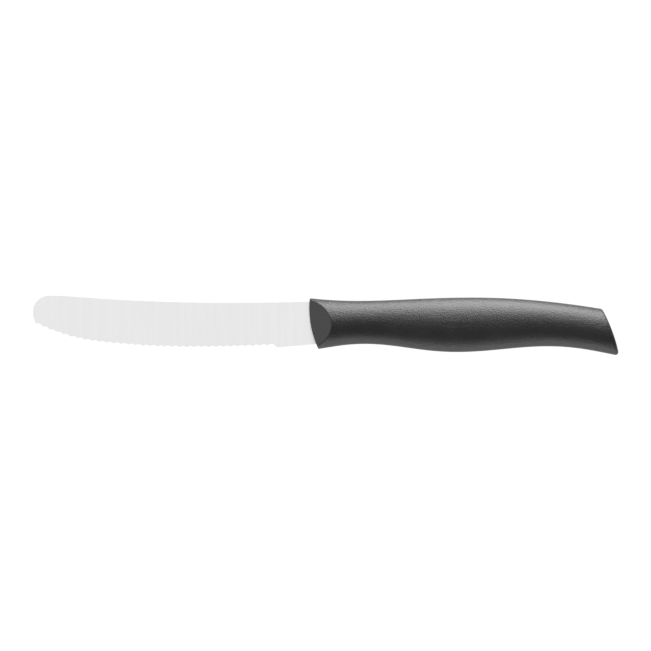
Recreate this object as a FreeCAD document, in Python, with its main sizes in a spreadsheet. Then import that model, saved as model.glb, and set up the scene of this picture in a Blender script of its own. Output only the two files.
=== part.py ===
import FreeCAD, Part
import Sketcher
import math
import os

# Tomato knife: a stamped serrated blade with a hidden tang, and a plastic grip moulded round the tang.
# The knife lies on its flank. +X runs from the tip to the butt, +Y from the edge to the spine and +Z up
# through the thickness. Both pieces are drawn about the blade's mid-plane with x = 0 at the middle of
# the grip's slanted front, then placed with the flat that the grip lies on at z = 0. A level is a height
# over the knife's axis, a depth is a distance under it and an inset is a distance inside the grip.

Vector = FreeCAD.Vector
Rotation = FreeCAD.Rotation
UP = Vector(0, 0, 1)

doc = FreeCAD.newDocument("TomatoKnife")

# Driving sizes in millimetres and degrees, and shares of the sizes that they follow

SIZES = {
    # Main sizes
    "blade_length": 120.0,
    "handle_length": 130.0,
    "blade_thickness": 1.5,
    "tip_thickness": 1.2,
    "edge_thickness": 0.45,
    # Spine: a shallow hollow that rises to a crest near the tip
    "spine_level": 9.57,
    "spine_root_radius": 1200.0,
    "crest_rise": 3.08,
    "crest_radius": 95.0,
    # Blunt nose
    "nose_drop": 7.15,
    "nose_radius": 10.5,
    "nose_flat": 0.5,
    "nose_lead": 2.2,
    # Line of the tooth points
    "edge_depth": 9.45,
    "edge_heel_radius": 700.0,
    "edge_mid_radius": 330.0,
    "edge_tip_radius": 80.0,
    # Scallops, ground from the far side only
    "edge_allowance": 0.95,
    "scallop_pitch": 3.12,
    "scallop_radius": 6.6,
    "scallop_angle": 15.0,
    "scallop_reach": 9.0,
    # Plain heel, and the shoulders where the blade steps down to the tang
    "heel_depth": 7.8,
    "shoulder_inset": 3.0,
    "upper_shoulder": 3.5,
    "lower_shoulder": 2.6,
    # Hidden tang
    "tang_length": 84.0,
    "tang_end_level": 0.8,
    "tang_end_height": 8.5,
    "tang_corner_radius": 1.5,
    "tang_hole_diameter": 5.0,
    "tang_hole_start": 18.0,
    "tang_hole_spacing": 23.0,
    # Front of the grip, and the grind that stops just ahead of it
    "front_lead": 2.0,
    "front_level": 7.5,
    "front_radius": 42.0,
    "grind_gap": 0.4,
    "facet_slant": 3.0,
    "facet_angle": 32.0,
    "facet_half_width": 1.9,
    "front_ease": 0.5,
    # Butt of the grip; the share is how much of the rim's radius the rounded hook loses in length
    "hook_depth": 12.68,
    "butt_lean": 13.2,
    "butt_radius": 85.0,
    "butt_ease": 1.2,
    "hook_share": 0.28,
    # Height of the grip's front over and under the blade
    "front_top_lip": 1.75,
    "front_bottom_lip": 3.0,
    "collar_top_lip": 0.6,
    "collar_bottom_lip": 1.25,
    # Grip sections behind the front: top level and bottom depth
    "waist_top": 10.5,
    "waist_bottom": 7.97,
    "rise_top": 11.2,
    "rise_bottom": 9.85,
    "belly_top": 11.86,
    "belly_bottom": 11.39,
    "fall_top": 11.65,
    "fall_bottom": 10.25,
    "hollow_top": 10.46,
    "hollow_bottom": 9.0,
    "tail_top": 8.27,
    "tail_bottom": 10.1,
    "butt_top": 5.2,
    "butt_bottom": 13.38,
    # Thickness of the grip sections
    "front_thickness": 14.6,
    "collar_thickness": 15.05,
    "waist_thickness": 13.6,
    "rise_thickness": 14.3,
    "belly_thickness": 15.09,
    "fall_thickness": 14.6,
    "hollow_thickness": 13.8,
    "tail_thickness": 13.7,
    "butt_thickness": 13.8,
    # How far the flats, which the knife lies on, are inside the fullest section
    "flat_inset": 0.045,
    # How far the cutting areas run past what they cut
    "cut_overrun": 5.0,
    # Places along the blade as shares of its length, counted from the grip
    "heel_share": 0.133,
    "dip_share": 0.308,
    "edge_low_share": 0.442,
    "edge_bend_share": 0.775,
    "crest_share": 0.93,
    # Places of the grip sections as shares of its length
    "front_share": -0.03,
    "collar_share": 0.065,
    "waist_share": 0.185,
    "rise_share": 0.323,
    "belly_share": 0.477,
    "fall_share": 0.615,
    "hollow_share": 0.746,
    "tail_share": 0.885,
    "butt_share": 1.02,
}
TANG_HOLES = 3

sheet = doc.addObject("Spreadsheet::Sheet", "Sizes")
for row, (alias, value) in enumerate(SIZES.items(), start=1):
    sheet.set("A%d" % row, alias)
    sheet.set("B%d" % row, str(value))
    sheet.setAlias("B%d" % row, alias)
doc.recompute()


def size(alias):
    return float(sheet.get(alias))


def cell(alias):
    return "Sizes." + alias


# Helpers for bodies and sketches

START, END, CENTRE = range(1, 4)
ROOT = (-1, 1)
FLAT_HEIGHT = "(Sizes.belly_thickness / 2 - Sizes.flat_inset)"


def origin_feature(body, role):
    for feature in body.Origin.OriginFeatures:
        if feature.Role == role:
            return feature
    raise RuntimeError("no origin feature " + role)


def place(piece):
    piece.setExpression("Placement.Base.x", "(Sizes.blade_length - Sizes.handle_length) / 2")
    piece.setExpression("Placement.Base.z", FLAT_HEIGHT)


def new_sketch(body, name, role):
    sketch = body.newObject("Sketcher::SketchObject", name)
    sketch.AttachmentSupport = [(origin_feature(body, role), "")]
    sketch.MapMode = "FlatFace"
    return sketch


def add_arc(sketch, centre, radius, first, last):
    # Runs anticlockwise from the first point to the last one
    circle = Part.Circle(centre, UP, radius)
    return sketch.addGeometry(Part.ArcOfCircle(circle, circle.parameter(first), circle.parameter(last)))


def add_line(sketch, first, last):
    return sketch.addGeometry(Part.LineSegment(first, last))


def hold(sketch, kind, *items):
    sketch.addConstraint(Sketcher.Constraint(kind, *items))


def drive(sketch, kind, items, value, expression):
    # A dimension of the sketch, bound to the driving sizes
    index = sketch.addConstraint(Sketcher.Constraint(kind, *items, value))
    sketch.setExpression("Constraints[%d]" % index, expression)


def close_chain(sketch, chain):
    for first, last in zip(chain, chain[1:] + chain[:1]):
        hold(sketch, "Coincident", first, END, last, START)


def cut_through(body, name, area):
    pocket = body.newObject("PartDesign::Pocket", name)
    pocket.Profile = area
    pocket.Type = "ThroughAll"
    pocket.SideType = "Symmetric"
    doc.recompute()
    return pocket


def on_both_sides(body, name, cut):
    # Repeats a cut on the other side of the blade's mid-plane
    pair = body.newObject("PartDesign::Mirrored", name)
    pair.Originals = [cut]
    pair.MirrorPlane = (origin_feature(body, "XY_Plane"), [""])
    body.Tip = pair
    doc.recompute()
    return pair


def on_circle(centre, radius, x, side):
    # The point at this x on the upper (side 1) or lower (side -1) half of a circle
    run = x - centre.x
    return Vector(x, centre.y + side * math.sqrt(radius * radius - run * run), 0)


def beside_circle(centre, radius, y, side):
    # The point at this y on the right (side 1) or left (side -1) half of a circle
    rise = y - centre.y
    return Vector(centre.x + side * math.sqrt(radius * radius - rise * rise), y, 0)


def upper_meeting(centre, radius, other, other_radius):
    # The upper one of the two points that lie on both circles
    between = other - centre
    gap = between.Length
    along = (gap * gap + radius * radius - other_radius * other_radius) / (2 * gap)
    aside = math.sqrt(radius * radius - along * along)
    unit = between / gap
    across = Vector(-unit.y, unit.x, 0) * aside
    foot = centre + unit * along
    return max(foot + across, foot - across, key=lambda point: point.y)


def turn(angle):
    return Vector(math.cos(math.radians(angle)), math.sin(math.radians(angle)), 0)


# Blade: outline of the stamped blank with its tang

blank = doc.addObject("PartDesign::Body", "BladeBlank")

dip = Vector(-size("blade_length") * size("dip_share"), size("spine_level"), 0)
spine_root_centre = dip + Vector(0, size("spine_root_radius"), 0)
crest = Vector(-size("blade_length") * size("crest_share"), size("spine_level") + size("crest_rise"), 0)
crest_centre = crest - Vector(0, size("crest_radius"), 0)
crest_run = dip.x - crest.x
spine_tip_reach = (crest_run * crest_run / size("crest_rise") + size("crest_rise")) / 2
spine_tip_radius = spine_tip_reach - size("crest_radius")
spine_tip_centre = dip + Vector(0, spine_tip_radius, 0)
nose = Vector(-size("blade_length"), crest.y - size("nose_drop"), 0)
nose_centre = nose + Vector(size("nose_radius"), 0, 0)
nose_top_radius = size("nose_drop") - size("nose_flat")
nose_top_centre = upper_meeting(
    crest_centre, size("crest_radius") - nose_top_radius,
    nose_centre, size("nose_radius") - nose_top_radius)

edge_low = Vector(-size("blade_length") * size("edge_low_share"), -size("edge_depth"), 0)
edge_heel_centre = edge_low + Vector(0, size("edge_heel_radius"), 0)
edge_mid_centre = edge_low + Vector(0, size("edge_mid_radius"), 0)
blank_heel_radius = size("edge_heel_radius") + size("edge_allowance")
blank_mid_radius = size("edge_mid_radius") + size("edge_allowance")
blank_tip_radius = size("edge_tip_radius") + size("edge_allowance")
edge_bend = on_circle(edge_mid_centre, blank_mid_radius, -size("blade_length") * size("edge_bend_share"), -1)
bend_way = (edge_bend - edge_mid_centre) / blank_mid_radius
edge_tip_centre = edge_mid_centre + bend_way * (size("edge_mid_radius") - size("edge_tip_radius"))
blank_low = edge_low - Vector(0, size("edge_allowance"), 0)
heel = on_circle(edge_heel_centre, blank_heel_radius, -size("blade_length") * size("heel_share"), -1)

crest_start = crest_centre + (spine_tip_centre - crest_centre) * (size("crest_radius") / spine_tip_reach)
crest_end = crest_centre + (nose_top_centre - crest_centre).normalize() * size("crest_radius")
nose_start = nose_centre + (nose_top_centre - nose_centre).normalize() * size("nose_radius")
nose_end = on_circle(edge_tip_centre, blank_tip_radius, size("nose_lead") - size("blade_length"), -1)
nose_fall = nose.y - nose_end.y
chin_radius = (size("nose_lead") + nose_fall * nose_fall / size("nose_lead")) / 2
chin_centre = nose + Vector(chin_radius, 0, 0)
spine_root = on_circle(spine_root_centre, size("spine_root_radius"), size("shoulder_inset"), -1)
heel_root = Vector(size("shoulder_inset"), -size("heel_depth"), 0)
tang_root_bottom = heel_root + Vector(0, size("lower_shoulder"), 0)
tang_root_top = spine_root - Vector(0, size("upper_shoulder"), 0)
tang_end_bottom = Vector(size("tang_length"), size("tang_end_level") - size("tang_end_height") / 2, 0)
tang_end_top = Vector(size("tang_length"), size("tang_end_level") + size("tang_end_height") / 2, 0)

outline = new_sketch(blank, "BlankOutline", "XY_Plane")
SPINE_ROOT = add_arc(outline, spine_root_centre, size("spine_root_radius"), dip, spine_root)
SPINE_TIP = add_arc(outline, spine_tip_centre, spine_tip_radius, crest_start, dip)
CREST = add_arc(outline, crest_centre, size("crest_radius"), crest_start, crest_end)
NOSE_TOP = add_arc(outline, nose_top_centre, nose_top_radius, crest_end, nose_start)
NOSE = add_arc(outline, nose_centre, size("nose_radius"), nose_start, nose)
CHIN = add_arc(outline, chin_centre, chin_radius, nose, nose_end)
EDGE_TIP = add_arc(outline, edge_tip_centre, blank_tip_radius, nose_end, edge_bend)
EDGE_MID = add_arc(outline, edge_mid_centre, blank_mid_radius, edge_bend, blank_low)
EDGE_HEEL = add_arc(outline, edge_heel_centre, blank_heel_radius, blank_low, heel)
HEEL = add_line(outline, heel, heel_root)
LOWER_SHOULDER = add_line(outline, heel_root, tang_root_bottom)
TANG_BOTTOM = add_line(outline, tang_root_bottom, tang_end_bottom)
TANG_END = add_line(outline, tang_end_bottom, tang_end_top)
TANG_TOP = add_line(outline, tang_end_top, tang_root_top)
UPPER_SHOULDER = add_line(outline, tang_root_top, spine_root)

hold(outline, "Tangent", SPINE_TIP, START, CREST, START)
hold(outline, "Tangent", CREST, END, NOSE_TOP, START)
hold(outline, "Tangent", NOSE_TOP, END, NOSE, START)
hold(outline, "Tangent", EDGE_TIP, END, EDGE_MID, START)
hold(outline, "Coincident", SPINE_ROOT, START, SPINE_TIP, END)
hold(outline, "Coincident", UPPER_SHOULDER, END, SPINE_ROOT, END)
for first, last in (
        (NOSE, CHIN), (CHIN, EDGE_TIP), (EDGE_MID, EDGE_HEEL), (EDGE_HEEL, HEEL), (HEEL, LOWER_SHOULDER),
        (LOWER_SHOULDER, TANG_BOTTOM), (TANG_BOTTOM, TANG_END), (TANG_END, TANG_TOP),
        (TANG_TOP, UPPER_SHOULDER)):
    hold(outline, "Coincident", first, END, last, START)
for arc, point in ((SPINE_ROOT, START), (SPINE_TIP, END), (EDGE_MID, END), (EDGE_HEEL, START)):
    hold(outline, "Vertical", arc, CENTRE, arc, point)
for arc, point in ((NOSE, END), (CHIN, START)):
    hold(outline, "Horizontal", arc, CENTRE, arc, point)
for line in (LOWER_SHOULDER, TANG_END, UPPER_SHOULDER):
    hold(outline, "Vertical", line)

drive(outline, "Radius", (SPINE_ROOT,), size("spine_root_radius"), cell("spine_root_radius"))
drive(outline, "Radius", (CREST,), size("crest_radius"), cell("crest_radius"))
drive(outline, "Radius", (NOSE_TOP,), nose_top_radius, "Sizes.nose_drop - Sizes.nose_flat")
drive(outline, "Radius", (NOSE,), size("nose_radius"), cell("nose_radius"))
drive(outline, "Radius", (EDGE_TIP,), blank_tip_radius, "Sizes.edge_tip_radius + Sizes.edge_allowance")
drive(outline, "Radius", (EDGE_MID,), blank_mid_radius, "Sizes.edge_mid_radius + Sizes.edge_allowance")
drive(outline, "Radius", (EDGE_HEEL,), blank_heel_radius, "Sizes.edge_heel_radius + Sizes.edge_allowance")
drive(outline, "DistanceX", (SPINE_TIP, END) + ROOT, -dip.x, "Sizes.blade_length * Sizes.dip_share")
drive(outline, "DistanceY", ROOT + (SPINE_TIP, END), dip.y, cell("spine_level"))
drive(outline, "DistanceX", (CREST, CENTRE) + ROOT, -crest.x, "Sizes.blade_length * Sizes.crest_share")
drive(outline, "DistanceY", (CREST, CENTRE) + ROOT, -crest_centre.y,
      "Sizes.crest_radius - Sizes.spine_level - Sizes.crest_rise")
drive(outline, "DistanceX", (NOSE, END) + ROOT, -nose.x, cell("blade_length"))
drive(outline, "DistanceY", ROOT + (NOSE, END), nose.y,
      "Sizes.spine_level + Sizes.crest_rise - Sizes.nose_drop")
drive(outline, "DistanceX", (CHIN, END) + ROOT, -nose_end.x, "Sizes.blade_length - Sizes.nose_lead")
drive(outline, "DistanceX", (EDGE_TIP, END) + ROOT, -edge_bend.x,
      "Sizes.blade_length * Sizes.edge_bend_share")
drive(outline, "DistanceX", (EDGE_MID, END) + ROOT, -blank_low.x,
      "Sizes.blade_length * Sizes.edge_low_share")
drive(outline, "DistanceY", (EDGE_MID, END) + ROOT, -blank_low.y, "Sizes.edge_depth + Sizes.edge_allowance")
drive(outline, "DistanceX", (HEEL, START) + ROOT, -heel.x, "Sizes.blade_length * Sizes.heel_share")
drive(outline, "DistanceX", ROOT + (HEEL, END), heel_root.x, cell("shoulder_inset"))
drive(outline, "DistanceY", (HEEL, END) + ROOT, -heel_root.y, cell("heel_depth"))
drive(outline, "DistanceX", ROOT + (UPPER_SHOULDER, START), tang_root_top.x, cell("shoulder_inset"))
drive(outline, "Distance", (LOWER_SHOULDER,), size("lower_shoulder"), cell("lower_shoulder"))
drive(outline, "Distance", (UPPER_SHOULDER,), size("upper_shoulder"), cell("upper_shoulder"))
drive(outline, "DistanceX", ROOT + (TANG_END, START), tang_end_top.x, cell("tang_length"))
drive(outline, "Distance", (TANG_END,), size("tang_end_height"), cell("tang_end_height"))
drive(outline, "DistanceY", ROOT + (TANG_END, END), tang_end_top.y,
      "Sizes.tang_end_level + Sizes.tang_end_height / 2")

stamping = blank.newObject("PartDesign::Pad", "Stamping")
stamping.Profile = outline
stamping.SideType = "Symmetric"
stamping.setExpression("Length", cell("blade_thickness"))
doc.recompute()

# Blade: row of holes in the tang

hole_centre = Vector(size("tang_hole_start"), size("tang_end_level"), 0)
hole = new_sketch(blank, "TangHole", "XY_Plane")
HOLE = hole.addGeometry(Part.Circle(hole_centre, UP, size("tang_hole_diameter") / 2))
drive(hole, "Diameter", (HOLE,), size("tang_hole_diameter"), cell("tang_hole_diameter"))
drive(hole, "DistanceX", ROOT + (HOLE, CENTRE), hole_centre.x, cell("tang_hole_start"))
drive(hole, "DistanceY", ROOT + (HOLE, CENTRE), hole_centre.y, cell("tang_end_level"))
punching = cut_through(blank, "Punching", hole)
punched = blank.newObject("PartDesign::LinearPattern", "PunchedRow")
punched.Originals = [punching]
punched.Direction = (origin_feature(blank, "X_Axis"), [""])
punched.Mode = "Spacing"
punched.setExpression("Offset", cell("tang_hole_spacing"))
punched.Occurrences = TANG_HOLES
blank.Tip = punched
doc.recompute()

# Blade: rounded corners of the tang


def edge_names(shape, wanted):
    return ["Edge%d" % number for number, edge in enumerate(shape.Edges, start=1) if wanted(edge)]


def is_tang_corner(edge):
    # An edge through the thickness, at one of the four corners of the tang
    first, last = edge.Vertexes[0].Point, edge.Vertexes[-1].Point
    if first.z * last.z > 0:
        return False
    corners = (tang_root_bottom, tang_root_top, tang_end_bottom, tang_end_top)
    reach = size("tang_corner_radius") / 2
    return any(Vector(first.x - corner.x, first.y - corner.y, 0).Length < reach for corner in corners)


rounded = blank.newObject("PartDesign::Fillet", "TangCorners")
rounded.Base = (punched, edge_names(punched.Shape, is_tang_corner))
rounded.setExpression("Radius", cell("tang_corner_radius"))
doc.recompute()

# Blade: flat grind on both faces, from just ahead of the grip to the tip

front_centre = Vector(size("front_radius") - size("front_lead"), size("front_level"), 0)
cut_top = crest.y + size("cut_overrun")
cut_bottom = -size("edge_depth") - size("cut_overrun")
cut_left = -size("blade_length") - size("cut_overrun")


def area_ahead(sketch, radius, expression):
    # Everything ahead of an arc that follows the front of the grip
    top = beside_circle(front_centre, radius, cut_top, -1)
    bottom = beside_circle(front_centre, radius, cut_bottom, -1)
    bottom_left = Vector(cut_left, cut_bottom, 0)
    top_left = Vector(cut_left, cut_top, 0)
    arc = add_arc(sketch, front_centre, radius, top, bottom)
    under = add_line(sketch, bottom, bottom_left)
    left = add_line(sketch, bottom_left, top_left)
    over = add_line(sketch, top_left, top)
    close_chain(sketch, [arc, under, left, over])
    hold(sketch, "Horizontal", under)
    hold(sketch, "Vertical", left)
    hold(sketch, "Horizontal", over)
    drive(sketch, "Radius", (arc,), radius, expression)
    drive(sketch, "DistanceX", ROOT + (arc, CENTRE), front_centre.x, "Sizes.front_radius - Sizes.front_lead")
    drive(sketch, "DistanceY", ROOT + (arc, CENTRE), front_centre.y, cell("front_level"))
    drive(sketch, "DistanceY", ROOT + (over, START), cut_top,
          "Sizes.spine_level + Sizes.crest_rise + Sizes.cut_overrun")
    drive(sketch, "DistanceY", (left, START) + ROOT, -cut_bottom, "Sizes.edge_depth + Sizes.cut_overrun")
    drive(sketch, "DistanceX", (left, START) + ROOT, -cut_left, "Sizes.blade_length + Sizes.cut_overrun")


grind_root = on_circle(spine_root_centre, size("spine_root_radius"), 0, -1)
grind_root.z = size("blade_thickness") / 2
grind_crest = Vector(crest.x, crest.y, size("tip_thickness") / 2)
grind_edge = Vector(edge_low.x, edge_low.y, size("edge_thickness") / 2)
grind_normal = (grind_crest - grind_root).cross(grind_edge - grind_root).normalize()
grind_base = Vector(0, 0, grind_root.dot(grind_normal) / grind_normal.z)


def face_height(point):
    # Height of the ground face over the mid-plane
    return grind_base.z - (grind_normal.x * point.x + grind_normal.y * point.y) / grind_normal.z


grind_area = new_sketch(blank, "GrindArea", "XY_Plane")
grind_area.AttachmentOffset = FreeCAD.Placement(grind_base, Rotation(UP, grind_normal))
area_ahead(grind_area, size("front_radius") + size("grind_gap"), "Sizes.front_radius + Sizes.grind_gap")
grinding = blank.newObject("PartDesign::Pocket", "Grinding")
grinding.Profile = grind_area
grinding.Type = "Length"
grinding.Reversed = True
grinding.setExpression("Length", cell("blade_thickness"))
doc.recompute()
on_both_sides(blank, "BothFacesGround", grinding)

# Blade: scallops along the edge, each ground by a round wheel whose axis leans to the far face

lean_sine = math.sin(math.radians(size("scallop_angle")))
lean_cosine = math.cos(math.radians(size("scallop_angle")))


def scallop_depth(half_width):
    # How deep a scallop of this half width is, seen square to the blade
    radius = size("scallop_radius")
    return (radius - math.sqrt(radius * radius - half_width * half_width)) / lean_sine


def scallop_half_width(depth):
    rest = size("scallop_radius") - depth * lean_sine
    return math.sqrt(size("scallop_radius") * size("scallop_radius") - rest * rest)


tooth_depth = scallop_depth(size("scallop_pitch") / 2)
end_half_width = scallop_half_width(tooth_depth + size("edge_allowance"))
bend_angle = math.asin(-bend_way.x)
heel_angle = math.asin((heel.x - end_half_width - edge_low.x) / size("edge_heel_radius"))
nose_angle = math.asin((edge_tip_centre.x - nose_end.x) / blank_tip_radius)
heel_run = size("edge_heel_radius") * heel_angle
mid_run = size("edge_mid_radius") * bend_angle
tip_run = size("edge_tip_radius") * (nose_angle - bend_angle)
edge_run = heel_run + mid_run + tip_run
scallop_count = round(edge_run / size("scallop_pitch"))


def along_edge(run):
    # Point of the tooth line and its outward direction, this far from the heel towards the nose
    if run < heel_run:
        angle = (run - heel_run) / size("edge_heel_radius")
        centre, radius = edge_heel_centre, size("edge_heel_radius")
    elif run < heel_run + mid_run:
        angle = (run - heel_run) / size("edge_mid_radius")
        centre, radius = edge_mid_centre, size("edge_mid_radius")
    else:
        angle = bend_angle + (run - heel_run - mid_run) / size("edge_tip_radius")
        centre, radius = edge_tip_centre, size("edge_tip_radius")
    outward = Vector(-math.sin(angle), -math.cos(angle), 0)
    return centre + outward * radius, outward


blade = blank
for number in range(scallop_count + 1):
    point, outward = along_edge(edge_run * number / scallop_count)
    valley = point - outward * tooth_depth
    valley.z = face_height(valley)
    axis = -outward * lean_cosine - UP * lean_sine
    away = outward * lean_sine - UP * lean_cosine
    wheel = doc.addObject("Part::Cylinder", "Wheel")
    wheel.setExpression("Radius", cell("scallop_radius"))
    wheel.setExpression("Height", cell("scallop_reach"))
    base = valley + away * size("scallop_radius") - axis * (size("scallop_reach") / 2)
    wheel.Placement = FreeCAD.Placement(base, Rotation(UP, axis))
    scallop = doc.addObject("Part::Cut", "Scallop")
    scallop.Base = blade
    scallop.Tool = wheel
    blade = scallop
blade.Label = "blade"
place(blade)
doc.recompute()

# Grip: the moulded form, a loft through oval sections

form = doc.addObject("PartDesign::Body", "GripForm")
place(form)

SPINE_AT_GRIP = (
    "(Sizes.spine_level + Sizes.spine_root_radius"
    " - sqrt(Sizes.spine_root_radius^2 - (Sizes.blade_length * Sizes.dip_share)^2))")
SECTIONS = {
    "front": (SPINE_AT_GRIP + " + Sizes.front_top_lip", "Sizes.heel_depth + Sizes.front_bottom_lip"),
    "collar": (SPINE_AT_GRIP + " + Sizes.collar_top_lip", "Sizes.heel_depth + Sizes.collar_bottom_lip"),
}
for name in ("waist", "rise", "belly", "fall", "hollow", "tail", "butt"):
    SECTIONS[name] = (cell(name + "_top"), cell(name + "_bottom"))

ovals = []
for name, (top_expression, bottom_expression) in SECTIONS.items():
    oval = new_sketch(form, name.capitalize() + "Section", "YZ_Plane")
    oval.setExpression("AttachmentOffset.Base.z", "Sizes.handle_length * Sizes.%s_share" % name)
    top = float(oval.evalExpression(top_expression))
    bottom = float(oval.evalExpression(bottom_expression))
    half_thickness = size(name + "_thickness") / 2
    centre = Vector((top - bottom) / 2, 0, 0)
    ring = oval.addGeometry(Part.Ellipse(Vector(top, 0, 0), centre + Vector(0, half_thickness, 0), centre))
    oval.exposeInternalGeometry(ring)
    tall, wide = ring + 1, ring + 2
    upper, lower = (START, END) if oval.getPoint(tall, START).x > centre.x else (END, START)
    hold(oval, "PointOnObject", tall, START, -1)
    hold(oval, "PointOnObject", tall, END, -1)
    drive(oval, "DistanceX", ROOT + (tall, upper), top, top_expression)
    drive(oval, "DistanceX", (tall, lower) + ROOT, bottom, bottom_expression)
    drive(oval, "Distance", (wide,), 2 * half_thickness, cell(name + "_thickness"))
    ovals.append(oval)
doc.recompute()
moulding = form.newObject("PartDesign::AdditiveLoft", "Moulding")
moulding.Profile = (ovals[0], [""])
moulding.Sections = [(oval, [""]) for oval in ovals[1:]]
doc.recompute()

# Grip: leaning front and butt, cut square to the blade's faces

front_area = new_sketch(form, "FrontArea", "XY_Plane")
area_ahead(front_area, size("front_radius"), cell("front_radius"))
cut_through(form, "FrontCut", front_area)

butt_foot = Vector(size("handle_length") + size("butt_ease") * size("hook_share"), -size("hook_depth"), 0)
butt_centre = butt_foot - turn(size("butt_lean")) * size("butt_radius")
butt_low = beside_circle(butt_centre, size("butt_radius"), butt_foot.y - size("cut_overrun"), 1)
butt_high = beside_circle(butt_centre, size("butt_radius"), cut_top, 1)
butt_right = size("handle_length") + 2 * size("cut_overrun")
butt_area = new_sketch(form, "ButtArea", "XY_Plane")
BUTT = add_arc(butt_area, butt_centre, size("butt_radius"), butt_low, butt_high)
OVER_BUTT = add_line(butt_area, butt_high, Vector(butt_right, cut_top, 0))
BEHIND_BUTT = add_line(butt_area, Vector(butt_right, cut_top, 0), Vector(butt_right, butt_low.y, 0))
UNDER_BUTT = add_line(butt_area, Vector(butt_right, butt_low.y, 0), butt_low)
close_chain(butt_area, [BUTT, OVER_BUTT, BEHIND_BUTT, UNDER_BUTT])
hold(butt_area, "Horizontal", OVER_BUTT)
hold(butt_area, "Vertical", BEHIND_BUTT)
hold(butt_area, "Horizontal", UNDER_BUTT)
drive(butt_area, "Radius", (BUTT,), size("butt_radius"), cell("butt_radius"))
drive(butt_area, "DistanceX", ROOT + (BUTT, CENTRE), butt_centre.x,
      "Sizes.handle_length + Sizes.butt_ease * Sizes.hook_share - Sizes.butt_radius * cos(Sizes.butt_lean)")
drive(butt_area, "DistanceY", (BUTT, CENTRE) + ROOT, -butt_centre.y,
      "Sizes.hook_depth + Sizes.butt_radius * sin(Sizes.butt_lean)")
drive(butt_area, "DistanceX", ROOT + (BEHIND_BUTT, START), butt_right,
      "Sizes.handle_length + 2 * Sizes.cut_overrun")
drive(butt_area, "DistanceY", ROOT + (BEHIND_BUTT, START), cut_top,
      "Sizes.spine_level + Sizes.crest_rise + Sizes.cut_overrun")
drive(butt_area, "DistanceY", (BEHIND_BUTT, END) + ROOT, -butt_low.y, "Sizes.hook_depth + Sizes.cut_overrun")
cut_through(form, "ButtCut", butt_area)

# Grip: flat facets that narrow both flanks towards the blade

FACET_FRONT = (
    "((Sizes.front_radius - Sizes.front_lead) * cos(Sizes.facet_slant)"
    " + Sizes.front_level * sin(Sizes.facet_slant) - Sizes.front_radius)")
FACET_TOP = "(Sizes.collar_thickness / 2 + Sizes.cut_overrun)"
FACET_END = "(%s + (%s - Sizes.facet_half_width) / tan(Sizes.facet_angle))" % (FACET_FRONT, FACET_TOP)

facet_area = new_sketch(form, "FacetArea", "XZ_Plane")
facet_turn = Rotation(Vector(0, 1, 0), size("facet_slant"))
facet_area.AttachmentOffset = FreeCAD.Placement(Vector(0, 0, 0), facet_turn)
facet_area.setExpression("AttachmentOffset.Rotation.Angle", cell("facet_slant"))
facet_left = float(facet_area.evalExpression(FACET_FRONT)) - size("cut_overrun")
facet_top = float(facet_area.evalExpression(FACET_TOP))
facet_right = float(facet_area.evalExpression(FACET_END))
facet_low = facet_top - (facet_right - facet_left) * math.tan(math.radians(size("facet_angle")))
FACET = add_line(facet_area, Vector(facet_left, facet_low, 0), Vector(facet_right, facet_top, 0))
OVER_FACET = add_line(facet_area, Vector(facet_right, facet_top, 0), Vector(facet_left, facet_top, 0))
AHEAD_OF_FACET = add_line(facet_area, Vector(facet_left, facet_top, 0), Vector(facet_left, facet_low, 0))
close_chain(facet_area, [FACET, OVER_FACET, AHEAD_OF_FACET])
hold(facet_area, "Horizontal", OVER_FACET)
hold(facet_area, "Vertical", AHEAD_OF_FACET)
drive(facet_area, "Angle", (FACET,), math.radians(size("facet_angle")), cell("facet_angle"))
drive(facet_area, "DistanceX", ROOT + (FACET, END), facet_right, FACET_END)
drive(facet_area, "DistanceY", ROOT + (FACET, END), facet_top, FACET_TOP)
drive(facet_area, "DistanceX", (AHEAD_OF_FACET, START) + ROOT, -facet_left,
      "Sizes.cut_overrun - " + FACET_FRONT)
facets = on_both_sides(form, "BothFacets", cut_through(form, "FacetCut", facet_area))

# Grip: eased edges


def face_edges(shape, wanted):
    # Names of all edges of the wanted faces
    hashes = {edge.hashCode() for face in shape.Faces if wanted(face) for edge in face.Edges}
    return edge_names(shape, lambda edge: edge.hashCode() in hashes)


def is_butt(face):
    return isinstance(face.Surface, Part.Cylinder) and face.CenterOfMass.x > size("handle_length") / 2


def is_facet_or_front(face):
    is_flank = isinstance(face.Surface, Part.BSplineSurface)
    return not is_flank and face.CenterOfMass.x < size("handle_length") / 2


butt_rim = form.newObject("PartDesign::Fillet", "ButtRim")
butt_rim.Base = (facets, face_edges(facets.Shape, is_butt))
butt_rim.setExpression("Radius", cell("butt_ease"))
doc.recompute()
front_rim = form.newObject("PartDesign::Fillet", "FrontRim")
front_rim.Base = (butt_rim, face_edges(butt_rim.Shape, is_facet_or_front))
front_rim.setExpression("Radius", cell("front_ease"))
form.Tip = front_rim
doc.recompute()

# Grip: a shallow flat on both flanks, so that the knife lies still

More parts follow.
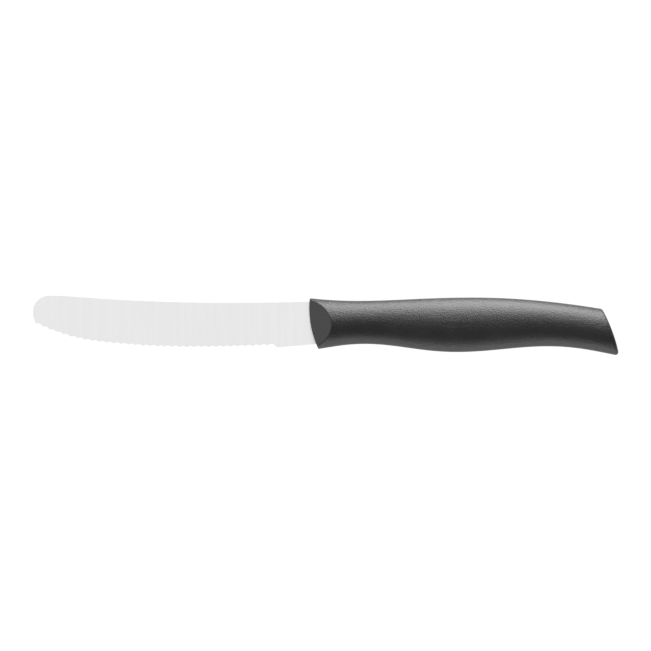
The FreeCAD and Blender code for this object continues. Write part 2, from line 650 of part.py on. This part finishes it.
flat_area = new_sketch(form, "FlatArea", "XZ_Plane")
flat_low = float(flat_area.evalExpression(FLAT_HEIGHT))
flat_high = flat_low + size("cut_overrun")
flat_left = -size("cut_overrun")
flat_right = size("handle_length")
FLAT = add_line(flat_area, Vector(flat_left, flat_low, 0), Vector(flat_right, flat_low, 0))
BEHIND_FLAT = add_line(flat_area, Vector(flat_right, flat_low, 0), Vector(flat_right, flat_high, 0))
OVER_FLAT = add_line(flat_area, Vector(flat_right, flat_high, 0), Vector(flat_left, flat_high, 0))
AHEAD_OF_FLAT = add_line(flat_area, Vector(flat_left, flat_high, 0), Vector(flat_left, flat_low, 0))
close_chain(flat_area, [FLAT, BEHIND_FLAT, OVER_FLAT, AHEAD_OF_FLAT])
hold(flat_area, "Horizontal", FLAT)
hold(flat_area, "Vertical", BEHIND_FLAT)
hold(flat_area, "Horizontal", OVER_FLAT)
hold(flat_area, "Vertical", AHEAD_OF_FLAT)
drive(flat_area, "DistanceX", (FLAT, START) + ROOT, -flat_left, cell("cut_overrun"))
drive(flat_area, "DistanceX", ROOT + (FLAT, END), flat_right, cell("handle_length"))
drive(flat_area, "DistanceY", ROOT + (FLAT, START), flat_low, FLAT_HEIGHT)
drive(flat_area, "DistanceY", ROOT + (OVER_FLAT, START), flat_high, FLAT_HEIGHT + " + Sizes.cut_overrun")
on_both_sides(form, "BothFlats", cut_through(form, "FlatCut", flat_area))

# Grip: the blade's root and tang fill its core, and its plastic fills the holes of the tang

handle = doc.addObject("Part::Cut", "Handle")
handle.Label = "handle"
handle.Base = form
handle.Tool = blade
doc.recompute()

# Checks and files

for item in doc.Objects:
    if "Invalid" in item.State or "Error" in item.State:
        raise RuntimeError(item.Label + " did not build")
os.makedirs("parts", exist_ok=True)
for node in (blade, handle):
    if node.Shape.isNull() or not node.Shape.isValid():
        raise RuntimeError(node.Label + " has no valid shape")
    node.Shape.exportStep("parts/" + node.Label + ".step")
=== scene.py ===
import math

import bpy
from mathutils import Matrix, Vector


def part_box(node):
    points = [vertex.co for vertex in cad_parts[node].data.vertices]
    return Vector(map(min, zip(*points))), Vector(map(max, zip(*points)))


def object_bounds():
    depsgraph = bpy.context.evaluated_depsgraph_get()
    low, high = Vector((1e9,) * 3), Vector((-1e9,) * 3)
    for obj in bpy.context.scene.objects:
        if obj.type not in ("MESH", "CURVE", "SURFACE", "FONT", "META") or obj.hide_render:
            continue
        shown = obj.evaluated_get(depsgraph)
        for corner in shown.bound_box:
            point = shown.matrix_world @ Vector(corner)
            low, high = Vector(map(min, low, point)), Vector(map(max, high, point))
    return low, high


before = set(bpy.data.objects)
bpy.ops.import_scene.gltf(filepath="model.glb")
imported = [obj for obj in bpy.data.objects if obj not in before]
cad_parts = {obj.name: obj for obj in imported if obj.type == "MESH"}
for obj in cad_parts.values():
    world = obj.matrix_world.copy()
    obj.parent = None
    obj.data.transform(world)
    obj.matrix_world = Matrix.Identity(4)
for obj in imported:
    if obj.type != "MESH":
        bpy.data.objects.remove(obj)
cad_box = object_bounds()

# Tomato knife, lying on its flank. +X runs from the tip to the butt, +Y from the edge to the spine, +Z up,
# and the origin is under the middle of the knife, on the floor. Both pieces are the frame's own solids:
# this script gives them their finish, and makes the studio.

MM = 0.001
WHITE = (1.0, 1.0, 1.0, 1.0)
low, high = cad_box
middle = (low + high) / 2
handle_low, handle_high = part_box("handle")
handle_middle = (handle_low + handle_high) / 2

# Photograph: its frame, and where the middle of the knife lies in it
PHOTO_PIXELS = 651
PIXEL_SIZE = 0.4272 * MM
KNIFE_PIXEL_X, KNIFE_PIXEL_Y = 325.7, 325.4

# Camera: a very long lens straight above the knife, in millimetres as cameras count
LENS = 400.0
SENSOR = 36.0


# Nodes

def add(tree, kind, inputs=None, **settings):
    # A new node with its settings, whose inputs are given values or are linked to other sockets
    node = tree.nodes.new(kind)
    for name, value in settings.items():
        setattr(node, name, value)
    for key, value in (inputs or {}).items():
        if isinstance(value, bpy.types.NodeSocket):
            tree.links.new(value, node.inputs[key])
        else:
            node.inputs[key].default_value = value
    return node


def math_node(tree, operation, first, second=0.0):
    return add(tree, "ShaderNodeMath", {0: first, 1: second}, operation=operation).outputs["Value"]


def summed(tree, start, parts):
    # A start value, plus a share of each of the other values
    total = start
    for value, share in parts:
        total = math_node(tree, "ADD", total, math_node(tree, "MULTIPLY", value, share))
    return total


def ranged(tree, value, lowest, highest, to_lowest=0.0, to_highest=1.0):
    # Maps a value from one range to another, and keeps it inside the new one
    inputs = {
        "Value": value,
        "From Min": lowest,
        "From Max": highest,
        "To Min": to_lowest,
        "To Max": to_highest,
    }
    return add(tree, "ShaderNodeMapRange", inputs, clamp=True).outputs["Result"]


def noise(tree, place, size=1.0, detail=2.0, roughness=0.5):
    # Noise from about zero to one, whose lumps are about this size in the units of the place
    NOISE_LOW, NOISE_HIGH = 0.3, 0.7
    inputs = {"Vector": place, "Scale": 1 / size, "Detail": detail, "Roughness": roughness}
    value = add(tree, "ShaderNodeTexNoise", inputs).outputs["Fac"]
    return ranged(tree, value, NOISE_LOW, NOISE_HIGH)


def stretched(tree, place, sizes):
    # The place counted in these sizes along X, Y and Z
    scale = [1 / size for size in sizes]
    return add(tree, "ShaderNodeMapping", {"Vector": place, "Scale": scale}).outputs["Vector"]


def between(tree, factor, first, second):
    # A colour between two others
    inputs = {"Factor": factor, "A": first, "B": second}
    return add(tree, "ShaderNodeMix", inputs, data_type="RGBA").outputs["Result"]


def object_place(tree):
    return add(tree, "ShaderNodeTexCoord").outputs["Object"]


def surface_normal(tree):
    return add(tree, "ShaderNodeNewGeometry").outputs["Normal"]


def facing(tree, axis):
    # The share of the surface's own direction that points along an axis
    return add(tree, "ShaderNodeSeparateXYZ", {"Vector": surface_normal(tree)}).outputs[axis]


def edge_mask(tree, radius):
    # One on the sharp edges, zero a little way from them
    SMOOTH, SHARP = 0.97, 0.75
    BEVEL_SAMPLES = 6
    rounded = add(tree, "ShaderNodeBevel", {"Radius": radius}, samples=BEVEL_SAMPLES).outputs["Normal"]
    directions = {0: rounded, 1: surface_normal(tree)}
    likeness = add(tree, "ShaderNodeVectorMath", directions, operation="DOT_PRODUCT").outputs["Value"]
    return ranged(tree, likeness, SMOOTH, SHARP)


def bumped(tree, height, strength, depth):
    # The surface's direction with a fine relief of this depth
    inputs = {"Height": height, "Strength": strength, "Distance": depth}
    return add(tree, "ShaderNodeBump", inputs).outputs["Normal"]


def new_material(name):
    material = bpy.data.materials.new(name)
    material.use_nodes = True
    tree = material.node_tree
    tree.nodes.clear()
    output = add(tree, "ShaderNodeOutputMaterial")
    return material, tree, output


# Materials

def steel():
    # Satin steel with fine grinding lines that run from the spine to the edge
    LINE_SIZES = (0.10 * MM, 14 * MM, 14 * MM)
    LINE_DETAIL, LINE_BREAKUP = 3.0, 0.6
    LINE_STRENGTH, LINE_DEPTH = 0.25, 0.012 * MM
    STREAK_SIZES = (1.6 * MM, 40 * MM, 40 * MM)
    CLOUD_SIZE = 18 * MM
    WORN_WIDTH = 0.25 * MM
    DULL_STEEL = (0.872, 0.873, 0.876, 1.0)
    BRIGHT_STEEL = (0.922, 0.923, 0.925, 1.0)
    LINE_SHADE_SHARE, STREAK_SHADE_SHARE = 0.5, 0.5
    ROUGHNESS = 0.36
    LINE_ROUGHNESS, CLOUD_ROUGHNESS, WORN_ROUGHNESS = 0.10, 0.04, 0.08

    material, tree, output = new_material("satin_steel")
    place = object_place(tree)
    lines = noise(tree, stretched(tree, place, LINE_SIZES), detail=LINE_DETAIL, roughness=LINE_BREAKUP)
    streaks = noise(tree, stretched(tree, place, STREAK_SIZES))
    clouds = noise(tree, place, CLOUD_SIZE)
    worn = edge_mask(tree, WORN_WIDTH)

    shade = summed(tree, 0.0, ((lines, LINE_SHADE_SHARE), (streaks, STREAK_SHADE_SHARE)))
    rough_parts = ((lines, LINE_ROUGHNESS), (clouds, CLOUD_ROUGHNESS), (worn, WORN_ROUGHNESS))
    shader = add(tree, "ShaderNodeBsdfPrincipled", {
        "Base Color": between(tree, shade, DULL_STEEL, BRIGHT_STEEL),
        "Metallic": 1.0,
        "Roughness": summed(tree, ROUGHNESS, rough_parts),
        "Normal": bumped(tree, lines, LINE_STRENGTH, LINE_DEPTH),
    })
    tree.links.new(shader.outputs["BSDF"], output.inputs["Surface"])
    return material


def plastic():
    # Black plastic with the fine grain of its mould, which is shallower on the slanted front and on the
    # steep sides, where the mould draws off
    GRAIN_SIZE = 0.45 * MM
    GRAIN_DETAIL = 1.0
    GRAIN_STRENGTH, GRAIN_DEPTH = 1.0, 0.078 * MM
    FRONT_FACING, FRONT_GRAIN_SHARE = (-0.25, -0.40), 0.6
    STEEP_FACING, STEEP_GRAIN_SHARE = (0.55, 0.15), 0.25
    CLOUD_SIZE = 9 * MM
    CLOUD_DETAIL = 3.0
    WORN_WIDTH = 0.5 * MM
    DEEP_BLACK = (0.0110, 0.0110, 0.0115, 1.0)
    SOFT_BLACK = (0.0170, 0.0170, 0.0177, 1.0)
    ROUGHNESS = 0.40
    CLOUD_ROUGHNESS, WORN_ROUGHNESS = 0.04, -0.05
    SPECULAR_LEVEL = 1.0

    material, tree, output = new_material("black_plastic")
    place = object_place(tree)
    grain = noise(tree, place, GRAIN_SIZE, detail=GRAIN_DETAIL)
    clouds = noise(tree, place, CLOUD_SIZE, detail=CLOUD_DETAIL)
    worn = edge_mask(tree, WORN_WIDTH)
    front_share = ranged(tree, facing(tree, "X"), *FRONT_FACING, 1.0, FRONT_GRAIN_SHARE)
    flatness = math_node(tree, "ABSOLUTE", facing(tree, "Z"))
    steep_share = ranged(tree, flatness, *STEEP_FACING, 1.0, STEEP_GRAIN_SHARE)
    grain_share = math_node(tree, "MULTIPLY", front_share, steep_share)
    height = math_node(tree, "MULTIPLY", grain, grain_share)

    rough_parts = ((clouds, CLOUD_ROUGHNESS), (worn, WORN_ROUGHNESS))
    shader = add(tree, "ShaderNodeBsdfPrincipled", {
        "Base Color": between(tree, clouds, DEEP_BLACK, SOFT_BLACK),
        "Roughness": summed(tree, ROUGHNESS, rough_parts),
        "Specular IOR Level": SPECULAR_LEVEL,
        "Normal": bumped(tree, height, GRAIN_STRENGTH, GRAIN_DEPTH),
    })
    tree.links.new(shader.outputs["BSDF"], output.inputs["Surface"])
    return material


def finish_node(name, material):
    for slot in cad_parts[name].material_slots:
        slot.material = material


finish_node("blade", steel())
finish_node("handle", plastic())


# Studio

def floor_material():
    # Pale, but white to the camera and in reflections apart from a faint share of the knife's shadow, which
    # is stronger in the reflections
    SHADOW_SHARE = 0.08
    MIRRORED_SHADOW_SHARE = 0.7
    WHITE_LEVEL = 1.07
    PALE = (0.92, 0.92, 0.92, 1.0)

    material, tree, output = new_material("pale_floor")
    matte = add(tree, "ShaderNodeBsdfDiffuse", {"Color": PALE})
    white = add(tree, "ShaderNodeEmission", {"Color": WHITE, "Strength": WHITE_LEVEL})
    path = add(tree, "ShaderNodeLightPath").outputs
    mirrored = math_node(tree, "MAXIMUM", path["Is Glossy Ray"], path["Is Transmission Ray"])
    mirrored = math_node(tree, "MULTIPLY", mirrored, 1.0 - MIRRORED_SHADOW_SHARE)
    seen = math_node(tree, "MULTIPLY", path["Is Camera Ray"], 1.0 - SHADOW_SHARE)
    white_share = math_node(tree, "MAXIMUM", seen, mirrored)
    looks = {"Fac": white_share, 1: matte.outputs["BSDF"], 2: white.outputs["Emission"]}
    mixed = add(tree, "ShaderNodeMixShader", looks)
    tree.links.new(mixed.outputs["Shader"], output.inputs["Surface"])
    return material


def floor():
    HALF_SIDE = 3.0
    corners = [
        (-HALF_SIDE, -HALF_SIDE, low.z),
        (HALF_SIDE, -HALF_SIDE, low.z),
        (HALF_SIDE, HALF_SIDE, low.z),
        (-HALF_SIDE, HALF_SIDE, low.z),
    ]
    mesh = bpy.data.meshes.new("floor")
    mesh.from_pydata(corners, [], [range(len(corners))])
    mesh.materials.append(floor_material())
    made = bpy.data.objects.new("floor", mesh)
    bpy.context.scene.collection.objects.link(made)
    return made


def softbox(name, place, direction, width, height, level, shaded):
    # A soft lamp with an even face of this level, where one is white. A flag keeps its light off the shaded
    # objects, and the lamp is never in the picture itself
    light = bpy.data.lights.new(name, "AREA")
    light.shape = "RECTANGLE"
    light.size = width
    light.size_y = height
    light.energy = level * math.pi * width * height
    made = bpy.data.objects.new(name, light)
    made.location = place
    made.rotation_mode = "QUATERNION"
    made.rotation_quaternion = Vector(direction).to_track_quat("-Z", "Y")
    made.visible_camera = False
    flag = bpy.data.collections.new(name + "_flag")
    for item in shaded:
        flag.objects.link(item)
    for item in flag.collection_objects:
        item.light_linking.link_state = "EXCLUDE"
    made.light_linking.receiver_collection = flag
    bpy.context.scene.collection.objects.link(made)


def handle_lights(shaded):
    # The handle's own lamps, because it shows one strong side light while the blade is evenly pale
    TO_EDGE, TO_SPINE = (0.0, -1.0, 0.0), (0.0, 1.0, 0.0)

    # Beside the handle: a low strip and two panels on the spine side, and a low strip on the edge side
    BUTT_SHIFT = 25 * MM
    SPINE_WIDTH, EDGE_WIDTH = 220 * MM, 240 * MM
    STRIP_Y, SPINE_Y, EDGE_Y = 80 * MM, 170 * MM, -200 * MM
    STRIP_Z, STRIP_HEIGHT, STRIP_LEVEL = 4.5 * MM, 8 * MM, 9.0
    LOWER_Z, LOWER_HEIGHT, LOWER_LEVEL = 80 * MM, 150 * MM, 5.7
    UPPER_Z, UPPER_HEIGHT, UPPER_LEVEL = 225 * MM, 110 * MM, 2.3
    EDGE_Z, EDGE_HEIGHT, EDGE_LEVEL = 32 * MM, 50 * MM, 2.4
    x = handle_middle.x + BUTT_SHIFT
    beside = (
        ("spine_strip", STRIP_Y, STRIP_Z, TO_EDGE, SPINE_WIDTH, STRIP_HEIGHT, STRIP_LEVEL),
        ("lower_panel", SPINE_Y, LOWER_Z, TO_EDGE, SPINE_WIDTH, LOWER_HEIGHT, LOWER_LEVEL),
        ("upper_panel", SPINE_Y, UPPER_Z, TO_EDGE, SPINE_WIDTH, UPPER_HEIGHT, UPPER_LEVEL),
        ("edge_strip", EDGE_Y, EDGE_Z, TO_SPINE, EDGE_WIDTH, EDGE_HEIGHT, EDGE_LEVEL),
    )
    for name, y, z, direction, width, height, level in beside:
        softbox(name, (x, y, z), direction, width, height, level, shaded)

    # Beyond the tip, for the slanted front of the handle
    TIP_X, TIP_Z = -450 * MM, 240 * MM
    TIP_WIDTH, TIP_HEIGHT, TIP_LEVEL = 700 * MM, 420 * MM, 0.82
    place = Vector((TIP_X, 0.0, TIP_Z))
    softbox("tip_panel", place, middle - place, TIP_WIDTH, TIP_HEIGHT, TIP_LEVEL, shaded)


def overhead_light(shaded):
    # High over the knife, for the blade and the floor
    HEIGHT, SIZE, LEVEL = 1300 * MM, 4000 * MM, 0.81
    DOWN = (0.0, 0.0, -1.0)
    softbox("overhead", (middle.x, middle.y, HEIGHT), DOWN, SIZE, SIZE, LEVEL, shaded)


def surroundings():
    LEVEL = 0.14
    world = bpy.data.worlds.new("studio")
    world.use_nodes = True
    background = world.node_tree.nodes["Background"]
    background.inputs["Color"].default_value = WHITE
    background.inputs["Strength"].default_value = LEVEL
    bpy.context.scene.world = world


def camera():
    data = bpy.data.cameras.new("camera")
    data.lens = LENS
    data.sensor_width = SENSOR
    made = bpy.data.objects.new("camera", data)
    frame_width = PHOTO_PIXELS * PIXEL_SIZE
    centre_pixel = PHOTO_PIXELS / 2
    made.location = (
        middle.x + (centre_pixel - KNIFE_PIXEL_X) * PIXEL_SIZE,
        middle.y + (KNIFE_PIXEL_Y - centre_pixel) * PIXEL_SIZE,
        middle.z + frame_width * LENS / SENSOR,
    )
    bpy.context.scene.collection.objects.link(made)
    bpy.context.scene.camera = made


blade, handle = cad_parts["blade"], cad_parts["handle"]
ground = floor()
handle_lights(shaded=(blade, ground))
overhead_light(shaded=(handle,))
surroundings()
camera()
bpy.context.scene.view_settings.view_transform = "Standard"
